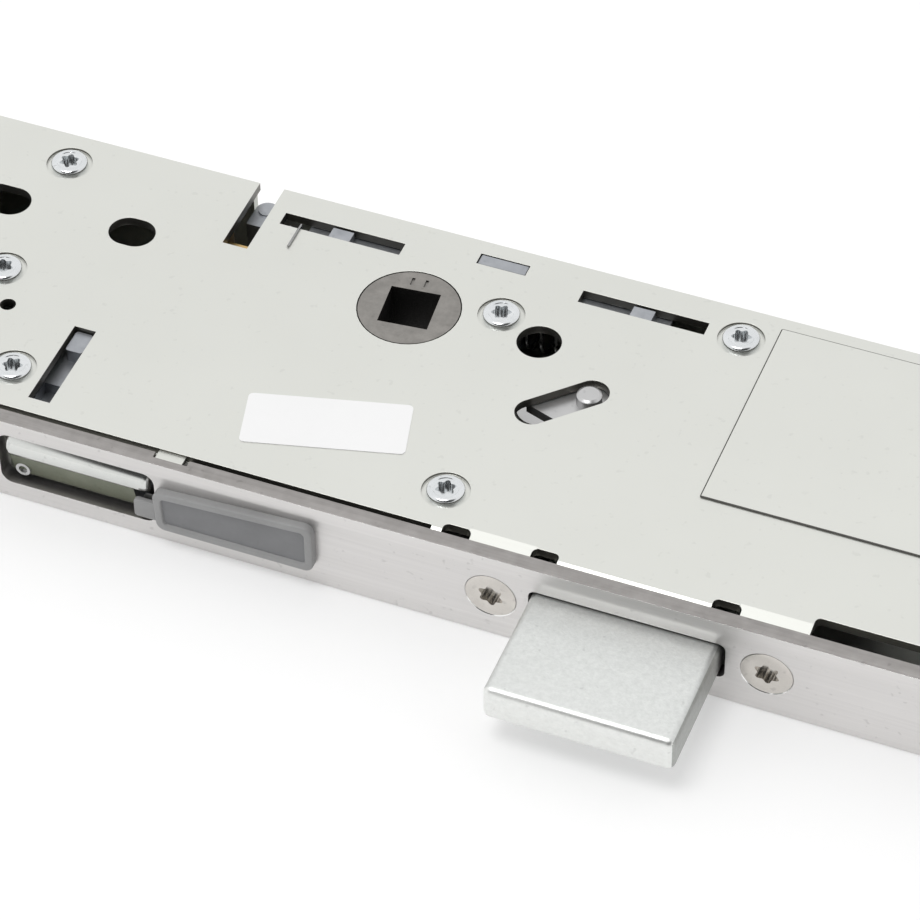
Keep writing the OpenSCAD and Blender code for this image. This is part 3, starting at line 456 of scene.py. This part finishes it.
# The clip's grained sunken panel, painted darker than its rim as a painted shade in the recess.
clip_panel_shade = finish("grained_clip_panel_painted_shade", (0.18, 0.182, 0.188), (0.225, 0.228, 0.235), (0.42, 0.6), 0.0,
                    size=150.0, bump=0.9, specks=0.1)
guide_black = finish("dark_guide_plastic", (0.02, 0.02, 0.022), (0.04, 0.04, 0.044), (0.4, 0.55), 0.0)
paper = finish("white_label_film", (0.84, 0.84, 0.84), (0.88, 0.88, 0.88), (0.45, 0.55), 0.0, size=40.0,
               specks=0.02)
finishes = {"stainless": stainless, "screw": screw_steel, "tray": tray_zinc, "cover": plated,
            "plated": screw_zinc, "steel": steel, "follower": sinter, "zinc": zinc,
            "bolt": bolt_zinc, "brass": brass, "spring": wire, "clip": clip_grey,
            "guide": guide_black, "label": paper}
for entry in frame["record"]["subparts"]:
    cad_mesh = nodes[entry["node"]].data
    for index in range(max(1, len(cad_mesh.materials))):
        if cad_mesh.materials:
            cad_mesh.materials[index] = finishes[entry["material_slot"]]
        else:
            cad_mesh.materials.append(finishes[entry["material_slot"]])
print("finishes", len(finishes))

# %% [markdown]
# ## Stamped parts keep their CAD shape
# Blanked and bent sheet has slightly rounded edges. Each kept part gets a weld, because
# the imported mesh is split at its creases, and then a narrow bevel. The guard plate and the
# follower get a painted shade line on their edge bevels.

# %% soft edges on the kept parts
EDGE = {"case_cover": 0.10, "case_tray": 0.12, "deadlock_pin": 0.12, "return_slide": 0.15,
        "spring_stop": 0.2, "cylinder_guard_plate": 0.2, "back_block": 0.3, "follower": 0.07,
        "hook_upper": 0.4, "hook_lower": 0.4, "hook_cover_upper": 0.12, "hook_cover_lower": 0.12,
        "hook_case_upper": 0.12, "hook_case_lower": 0.12, "drive_slide": 0.15}
for name, width in EDGE.items():
    weld = nodes[name].modifiers.new("weld", "WELD")
    weld.merge_threshold = 1e-6
    bevel = nodes[name].modifiers.new("edge", "BEVEL")
    bevel.width = width * MM
    bevel.segments = 2
    bevel.limit_method = "ANGLE"
    bevel.angle_limit = math.radians(35)
# These two get the painted shade line on their bevels.
for name in ("cylinder_guard_plate", "follower"):
    nodes[name].data.materials.append(edge_shade_line)
    nodes[name].modifiers["edge"].segments = 1
    nodes[name].modifiers["edge"].material = 1
print("parts with soft edges", len(EDGE))

# %% [markdown]
# ## The faceplate
# One strip of stainless steel, 16 mm wide and 2.5 mm thick, carries everything. It is blanked
# with windows for the latch, the deadbolt and the hooks, and countersunk for its screws.

# %% faceplate with its windows and countersinks
def countersink(bm, x, head_r, hole_r):
    depth = head_r - hole_r
    turned(bm, [(head_r, 1), (head_r, 0), (hole_r, -depth), (hole_r, -FACE_T - 1)], 64,
           facing_front(x, 0, Z_MID))


def window(bm, x, z, radius):
    outline = round_box(x[1] - x[0], z[1] - z[0], radius)
    middle = facing_front((x[0] + x[1]) / 2, 0, (z[0] + z[1]) / 2)
    prism(bm, outline, -FACE_T - 1, 1, middle)


strip = bmesh.new()
prism(strip, round_box(STRIP[1] - STRIP[0], FACE_W, 2.0), -FACE_T, 0,
      facing_front((STRIP[0] + STRIP[1]) / 2, 0, Z_MID))
holes = bmesh.new()
for x in FACE_SCREWS:
    countersink(holes, x, 4.15, 2.15)
for x in DOOR_HOLES:
    countersink(holes, x, 4.2, 2.3)
countersink(holes, CYLINDER_SCREW, 4.6, 2.7)
window(holes, (LATCH[0] - 1, LATCH[1] + 1), (3.1, 13.2), 1.9)
window(holes, (BOLT[0] - 0.4, BOLT[1] + 0.8), (4.5, 11.5), 1.2)
for x in HOOKS:
    window(holes, (x - 6.6, x + 34.8), (4.4, 11.6), 1.2)
prism(holes, round_box(5.6, 4, 0.1, 1), FACE_W - 1, FACE_W + 1, upright(-20.9, FACE_T + 0.9, 0))
strip_mesh = cut_from(mesh_of(strip, "strip"), mesh_of(holes, "holes"), "faceplate_strip")
beveled(strip_mesh, 0.36, 3)
piece("faceplate_strip", strip_mesh, "lock_body", stainless, ["faceplate"])
strip_mesh.materials.append(sheared_edge_shade)
strip_mesh.materials.append(front_edge_highlight)
for face in strip_mesh.polygons:
    # Faces that do not face the front get the darker cut-edge finish, a painted shade on the window walls.
    if face.normal.y > -0.3:
        face.material_index = 1
    # The upper front bevel gets the painted highlight.
    elif face.normal.z > 0.25:
        face.material_index = 2
print("faceplate faces", len(strip_mesh.polygons))

# %% [markdown]
# ## Screws
# The faceplate screws are countersunk and the cover screws have low round heads with a
# chamfered rim. Both are driven by a six-lobe bit.

# %% screws
def many(name, mesh, places):
    bm = bmesh.new()
    for place in places:
        copy = mesh.copy()
        copy.transform(place)
        bm.from_mesh(copy)
        bpy.data.meshes.remove(copy)
    return mesh_of(bm, name)


def screw(profile, recess_r, recess_deep, top):
    body = bmesh.new()
    turned(body, profile)
    tool = bmesh.new()
    prism(tool, lobed(recess_r), top - recess_deep, top + 1)
    return cut_from(mesh_of(body, "screw"), mesh_of(tool, "recess"), "screw")


sunk = screw([(0, -8), (1.95, -8), (1.95, -2.05), (3.75, -0.25), (4.0, -0.06), (3.86, 0), (2.3, 0.0),
              (2.2, -0.05), (0, -0.05)], 2.0, 1.3, 0.0)
sunk_long = screw([(0, -13), (1.95, -13), (1.95, -2.05), (3.75, -0.25), (4.0, -0.06), (3.86, 0),
                   (2.3, 0.0), (2.2, -0.05), (0, -0.05)], 2.0, 1.3, 0.0)
short_places = [facing_front(x, 0, Z_MID) @ Matrix.Rotation(math.radians(7 * x), 4, "Z")
                for x in FACE_SCREWS[:4]]
long_places = [facing_front(x, 0, Z_MID) @ Matrix.Rotation(math.radians(7 * x), 4, "Z")
               for x in FACE_SCREWS[4:]]
both = bmesh.new()
both.from_mesh(many("short", sunk, short_places))
both.from_mesh(many("long", sunk_long, long_places))
piece("faceplate_screw_set", mesh_of(both, "faceplate_screw_set"), "lock_body", screw_steel,
      ["faceplate_screws"])

low_head = screw([(0, -9), (1.95, -9), (1.95, -0.4), (2.9, -0.4), (2.9, 0.25), (2.8, 0.42), (2.5, 0.6),
                  (2.05, 0.6), (1.95, 0.52), (0, 0.52)], 1.6, 1.3, 0.6)
places = [upright(x, d, FACE_W) @ Matrix.Rotation(math.radians(23 * x), 4, "Z")
          for x, d in COVER_SCREWS]
piece("cover_screw_set", many("cover_screw_set", low_head, places), "lock_body", screw_zinc,
      ["cover_screws"])
print("screws", len(FACE_SCREWS) + len(COVER_SCREWS))

# %% [markdown]
# ## The deadbolt
# A drawn steel bar with generous edges. It is the thickest moving piece, and its top
# catches the light along the front edge. Its front is painted lighter than its top, a
# painted highlight, and its right side darker, a painted shade.

# %% deadbolt
EDGE_R = 1.2
bar = bmesh.new()
middle = at((BOLT[0] + BOLT[1]) / 2, (29 - THROW) / 2, Z_MID)
size = Matrix.Diagonal((BOLT[1] - BOLT[0], 29 + THROW, BOLT_T, 1))
bmesh.ops.create_cube(bar, size=MM, matrix=Matrix.Translation(middle) @ size)
bmesh.ops.bevel(bar, geom=bar.edges, offset=EDGE_R * MM, segments=6, profile=0.5, affect="EDGES")
groove = bmesh.new()
start = at(62.5, 25, 0)
end = at(42.5, 5, 0)
along = (end - start).normalized()
side = Vector((-along.y, along.x, 0))
lane = []
for centre, first in ((start, 90), (end, -90)):
    for step in range(13):
        angle = math.radians(first + 180 * step / 12)
        lane.append(centre + (along * math.cos(angle) + side * math.sin(angle)) * 2.6 * MM)
prism(groove, [(p.x, p.y) for p in lane], 3 * MM, 8.2 * MM)
bar_mesh = cut_from(mesh_of(bar, "bar"), mesh_of(groove, "groove"), "deadbolt_bar")
piece("deadbolt_bar", bar_mesh, "deadbolt_body", bolt_zinc, ["deadbolt"], 45)
bar_mesh.materials.append(bolt_side_painted_shade)
bar_mesh.materials.append(bolt_front_painted_light)
# The right side gets the painted shade and the front the painted highlight.
for face in bar_mesh.polygons:
    if face.normal.x > 0.7:
        face.material_index = 1
    elif face.normal.y < -0.25:
        face.material_index = 2
print("deadbolt throw in mm", THROW)

# %% [markdown]
# ## The transit clip
# A grey plastic clip holds the latch back until the lock is fitted. It is a panel with a
# raised border, and its tongue reaches into the latch window.

# %% transit clip
PANEL = ((-22.66, 3.45), (3.0, 3.45), (3.0, 12.71), (-23.1, 11.25))
SUNKEN = ((-21.43, 4.75), (1.7, 4.75), (1.7, 11.33), (-21.73, 10.02))
PROUD = 1.4
SOFT = 0.3


def moved_in(corners, border):
    """The corners of a polygon drawn anticlockwise, each moved inwards by the same border."""
    inner = []
    for i in range(len(corners)):
        corner = Vector(corners[i])
        before = (Vector(corners[i - 1]) - corner).normalized()
        after = (Vector(corners[(i + 1) % len(corners)]) - corner).normalized()
        half = before.angle(after) / 2
        inner.append(corner + (before + after).normalized() * border / math.sin(half))
    return inner


def panel_ring(bm, corners, border, radius, height):
    outline = rounded(moved_in(corners, border), radius - border)
    return [bm.verts.new(facing_front(0, 0, 0) @ Vector((x, y, height))) for x, y in outline]


panel = bmesh.new()
rings = [panel_ring(panel, PANEL, 0, 1.5, 0.02)]
for step in range(5):
    angle = math.radians(22.5 * step)
    rings.append(panel_ring(panel, PANEL, SOFT * (1 - math.cos(angle)), 1.5,
                            PROUD - SOFT * (1 - math.sin(angle))))
for step in range(5):
    angle = math.radians(22.5 * step)
    rings.append(panel_ring(panel, SUNKEN, -SOFT * (1 - math.sin(angle)), 0.7,
                            PROUD - SOFT * (1 - math.cos(angle))))
rings.append(panel_ring(panel, SUNKEN, 0.05, 0.7, PROUD - 0.4))
panel.faces.new(rings[0])
panel.faces.new(rings[-1])
for low, high in zip(rings, rings[1:]):
    for i in range(len(low)):
        j = (i + 1) % len(low)
        panel.faces.new((low[i], low[j], high[j], high[i]))
panel_mesh = mesh_of(panel, "clip_panel")
piece("transit_clip_panel", panel_mesh, "clip_body", clip_grey, ["transit_clip"], 50)
panel_mesh.materials.append(clip_panel_shade)
# The sunken floor gets the darker colour, a painted shade.
sunken_floor = max(panel_mesh.polygons, key=lambda face: (len(face.vertices), -face.center.y))
sunken_floor.material_index = 1
tongue = bmesh.new()
prism(tongue, round_box(4.4, 3.5, 0.6), 0.02, 1.0, facing_front(-24.2, 0, 6.45))
prism(tongue, round_box(2.6, 1.9, 0.2), -0.8, 0.4, facing_front(-25.1, 0, 5.85))
tongue_mesh = beveled(mesh_of(tongue, "clip_tongue"), 0.2, 2)
piece("transit_clip_tongue", tongue_mesh, "clip_body", clip_grey, (), 50)

# %% [markdown]
# ## The latch bolt
# The nose of the latch is a polished round bar, flush with the faceplate. Below it the bolt
# slopes back, and a notch at one end makes room for the clip's hook.

# %% latch bolt
LATCH_BACK = 22.6
LATCH_Z = (4.4, 12.9)
NOSE_R = 2.6
NOSE_AT = (2.5, 10.3)
END_EDGE = 0.9


def latch_ring(bm, x, inset):
    """The latch's outline at one place along the lock, drawn in by the inset."""
    outline = []
    for step in range(27):
        angle = math.radians(127 * step / 26)
        outline.append((NOSE_AT[0] - (NOSE_R - inset) * math.sin(angle),
                        NOSE_AT[1] + (NOSE_R - inset) * math.cos(angle)))
    outline.append((1.5 + inset, LATCH_Z[0] + inset))
    outline.append((LATCH_BACK - inset, LATCH_Z[0] + inset))
    outline.append((LATCH_BACK - inset, LATCH_Z[1] - inset))
    return [bm.verts.new(at(x, d, z)) for d, z in outline]


latch = bmesh.new()
rings = []
for step in range(6):
    angle = math.radians(18 * step)
    rings.append(latch_ring(latch, LATCH[0] + END_EDGE * (1 - math.cos(angle)),
                            END_EDGE * (1 - math.sin(angle))))
rings.sort(key=lambda ring: ring[0].co.x)
for step in range(6):
    angle = math.radians(90 - 18 * step)
    rings.append(latch_ring(latch, LATCH[1] - END_EDGE * (1 - math.cos(angle)),
                            END_EDGE * (1 - math.sin(angle))))
latch.faces.new(rings[0])
latch.faces.new(rings[-1])
for left, right in zip(rings, rings[1:]):
    for i in range(len(left)):
        j = (i + 1) % len(left)
        latch.faces.new((left[i], left[j], right[j], right[i]))
hollows = bmesh.new()
prism(hollows, [(-26.9, -1), (-23, -1), (-23, 16.3), (-26.9, 16.3)], 4, 9.2, upright(0, 0, 0))
prism(hollows, [(-47.2, 3.6), (-42.4, 3.6), (-42.4, 12.7), (-47.2, 12.7)], 10.9, 14, upright(0, 0, 0))
latch_mesh = cut_from(mesh_of(latch, "latch"), mesh_of(hollows, "hollows"), "latch_bolt_body")
with_lug = bmesh.new()
with_lug.from_mesh(latch_mesh)
prism(with_lug, rounded([(-46.2, 18.3), (-43.4, 18.3), (-43.4, 22.6), (-46.2, 22.6)], 0.4), 12.5, 15.2,
      upright(0, 0, 0))
latch_mesh = mesh_of(with_lug, "latch_bolt_body")
piece("latch_bolt_body", latch_mesh, "latch_body", polished, ["latch_bolt"], 15)
latch_mesh.materials.append(latch_slope_shade)
latch_mesh.materials.append(zinc)
front_part = at(0, 2.6, 0).y
# The back of the latch gets plain zinc and its lower front the dark greenish painted shade.
for face in latch_mesh.polygons:
    if face.center.y > front_part:
        face.material_index = 2
    elif face.center.z < 8.75 * MM:
        face.material_index = 1
print("latch faces", len(latch_mesh.polygons))

# %% [markdown]
# ## The inspection label
# A small white film label with round corners, stuck on a little crooked. It is left blank.

# %% label
label = bmesh.new()
crooked = (Matrix.Translation(at(-2.1, 17.1, FACE_W)) @ Matrix.Rotation(math.radians(14.5), 4, "Z")
           @ Matrix.Scale(MM, 4))
prism(label, round_box(25.2, 10.4, 0.8), 0.0, 0.1, crooked)
piece("inspection_label_film", mesh_of(label, "inspection_label_film"), "lock_body", paper,
      ["inspection_label"], 0)

# %% [markdown]
# ## Wire and springs
# Springs are drawn as one wire along a helix, which the curve's round bevel thickens. The two
# return springs sit between the case and the return slide and ride on no body. All of them
# keep their rest length.

# %% springs
WIRE_ROUNDNESS = 3


def wire_piece(name, points, radius, body, node, moving=None):
    curve = bpy.data.curves.new(name, "CURVE")
    curve.dimensions = "3D"
    curve.bevel_depth = radius * MM
    curve.bevel_resolution = WIRE_ROUNDNESS
    curve.use_fill_caps = True
    spline = curve.splines.new("POLY")
    spline.points.add(len(points) - 1)
    for target, point in zip(spline.points, points):
        target.co = (*point, 1)
    curve.materials.append(wire)
    drawn = bpy.data.objects.new(name + "_curve", curve)
    bpy.context.scene.collection.objects.link(drawn)
    depsgraph = bpy.context.evaluated_depsgraph_get()
    mesh = bpy.data.meshes.new_from_object(drawn.evaluated_get(depsgraph))
    bpy.data.objects.remove(drawn)
    obj = bpy.data.objects.new(name, mesh)
    bpy.context.scene.collection.objects.link(obj)
    if moving:
        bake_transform(obj)
    else:
        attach(obj, body)
    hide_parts(node)


def helix(low, high, radius, curls, axis, centre):
    """Points of a spring from low to high along an axis, all in millimetres."""
    points = []
    steps = 20 * curls
    for step in range(steps + 1):
        angle = 2 * math.pi * curls * step / steps
        along = low + (high - low) * step / steps
        across = (radius * math.cos(angle), radius * math.sin(angle))
        if axis == "x":
            points.append(at(along, centre[0] + across[0], centre[1] + across[1]))
        elif axis == "y":
            points.append(at(centre[0] + across[0], along, centre[1] + across[1]))
        else:
            points.append(at(centre[0] + across[0], centre[1] + across[1], along))
    return points


wire_piece("return_coil_upper", helix(-13.95, 5.7, 2.4, 7, "x", (56.9, 5.2)), 0.4, "lock_body",
           "return_spring_upper", "return_slide_body")
wire_piece("return_coil_lower", helix(14.5, 31.9, 2.4, 7, "x", (56.9, 5.2)), 0.4, "lock_body",
           "return_spring_lower", "return_slide_body")
wire_piece("latch_coil", helix(23.0, 37.6, 3.1, 8, "y", (-36.7, 7.4)), 0.4, "lock_body", "latch_spring")
wire_piece("key_lever_coil", helix(7.6, 13.8, 3.3, 4, "z", (81, 26)), 0.4, "lock_body",
           "key_lever_spring")
bent = [at(-24.9, 56.3, 15.1), at(-24.9, 56.3, 1.7), at(-22.9, 56.3, 1.7), at(-22.9, 56.3, 16.1),
        at(-22.9, 56.15, 16.2), at(-22.9, 50.9, 16.21)]
wire_piece("bent_wire", bent, 0.2, "lock_body", "wire_spring")

# %% [markdown]
# ## Table, lights and camera
# The lock lies on a white table in a white room, under one broad soft light. The ceiling
# over the camera is darker, which gives rounded metal edges their dark reflections.

# %% table
floor_mesh = bpy.data.meshes.new("table_top")
half = 6.0
floor_mesh.from_pydata([(-half, -half, -0.0002), (half, -half, -0.0002), (half, half, -0.0002),
                        (-half, half, -0.0002)], [], [(0, 1, 2, 3)])
floor = bpy.data.objects.new("table_top", floor_mesh)
bpy.context.scene.collection.objects.link(floor)
white = bpy.data.materials.new("white_table")
white.use_nodes = True
table_shader = white.node_tree.nodes["Principled BSDF"]
table_shader.inputs["Base Color"].default_value = (0.60, 0.60, 0.60, 1)
table_shader.inputs["Roughness"].default_value = 0.7
table_shader.inputs["Emission Color"].default_value = (1, 1, 1, 1)
table_shader.inputs["Emission Strength"].default_value = 0.40
floor_mesh.materials.append(white)
floor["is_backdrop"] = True


# %% lights
def lamp(name, place, aim, size, power, colour=(1, 1, 1)):
    data = bpy.data.lights.new(name, "AREA")
    data.shape = "RECTANGLE"
    data.size, data.size_y = size
    data.energy = power
    data.color = colour
    obj = bpy.data.objects.new(name, data)
    obj.location = place
    obj.rotation_mode = "QUATERNION"
    obj.rotation_quaternion = (Vector(aim) - Vector(place)).to_track_quat("-Z", "Y")
    bpy.context.scene.collection.objects.link(obj)


WALLS = 1.0
CEILING = 0.05
lamp("softbox", (-0.25, -0.5, 2.0), (0.0, 0.0, 0.0), (0.9, 0.9), 16)
world = bpy.data.worlds.new("studio")
bpy.context.scene.world = world
world.use_nodes = True
sky = world.node_tree
where = add(sky, "ShaderNodeTexCoord")
facing = add(sky, "ShaderNodeVectorMath", operation="DOT_PRODUCT")
facing.inputs[1].default_value = (0.26, -0.66, 0.705)
sky.links.new(where.outputs["Generated"], facing.inputs[0])
shade_off = add(sky, "ShaderNodeMapRange", interpolation_type="SMOOTHSTEP")
shade_off.inputs["From Min"].default_value = 0.70
shade_off.inputs["From Max"].default_value = 0.82
shade_off.inputs["To Min"].default_value = WALLS
shade_off.inputs["To Max"].default_value = CEILING
sky.links.new(facing.outputs["Value"], shade_off.inputs["Value"])
sky.links.new(shade_off.outputs["Result"], sky.nodes["Background"].inputs["Strength"])
sky.nodes["Background"].inputs["Color"].default_value = (1.0, 1.0, 1.0, 1)
bpy.context.scene.view_settings.view_transform = "Standard"

# %% camera
SENSOR = 36.0
LENS = 164.355
camera_data = bpy.data.cameras.new("photo_camera")
camera_data.sensor_width = SENSOR
camera_data.lens = LENS
camera_data.clip_start = 0.01
camera_data.clip_end = 50
camera = bpy.data.objects.new("photo_camera", camera_data)
right = Vector((0.92983152, 0.36779155, -0.01194694))
down = Vector((0.25548307, -0.6685842, -0.69837208))
forward = Vector((-0.26484288, 0.64631613, -0.71563517))
turn = Matrix((right, -down, -forward)).transposed()
camera.matrix_world = Matrix.Translation((0.185308, -0.432555, 0.464110)) @ turn.to_4x4()
bpy.context.scene.collection.objects.link(camera)
bpy.context.scene.camera = camera

# %% the size of the dressed lock, and the end of the lesson
low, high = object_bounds()
print("visual box in mm", [round(v * 1000, 1) for v in high - low])
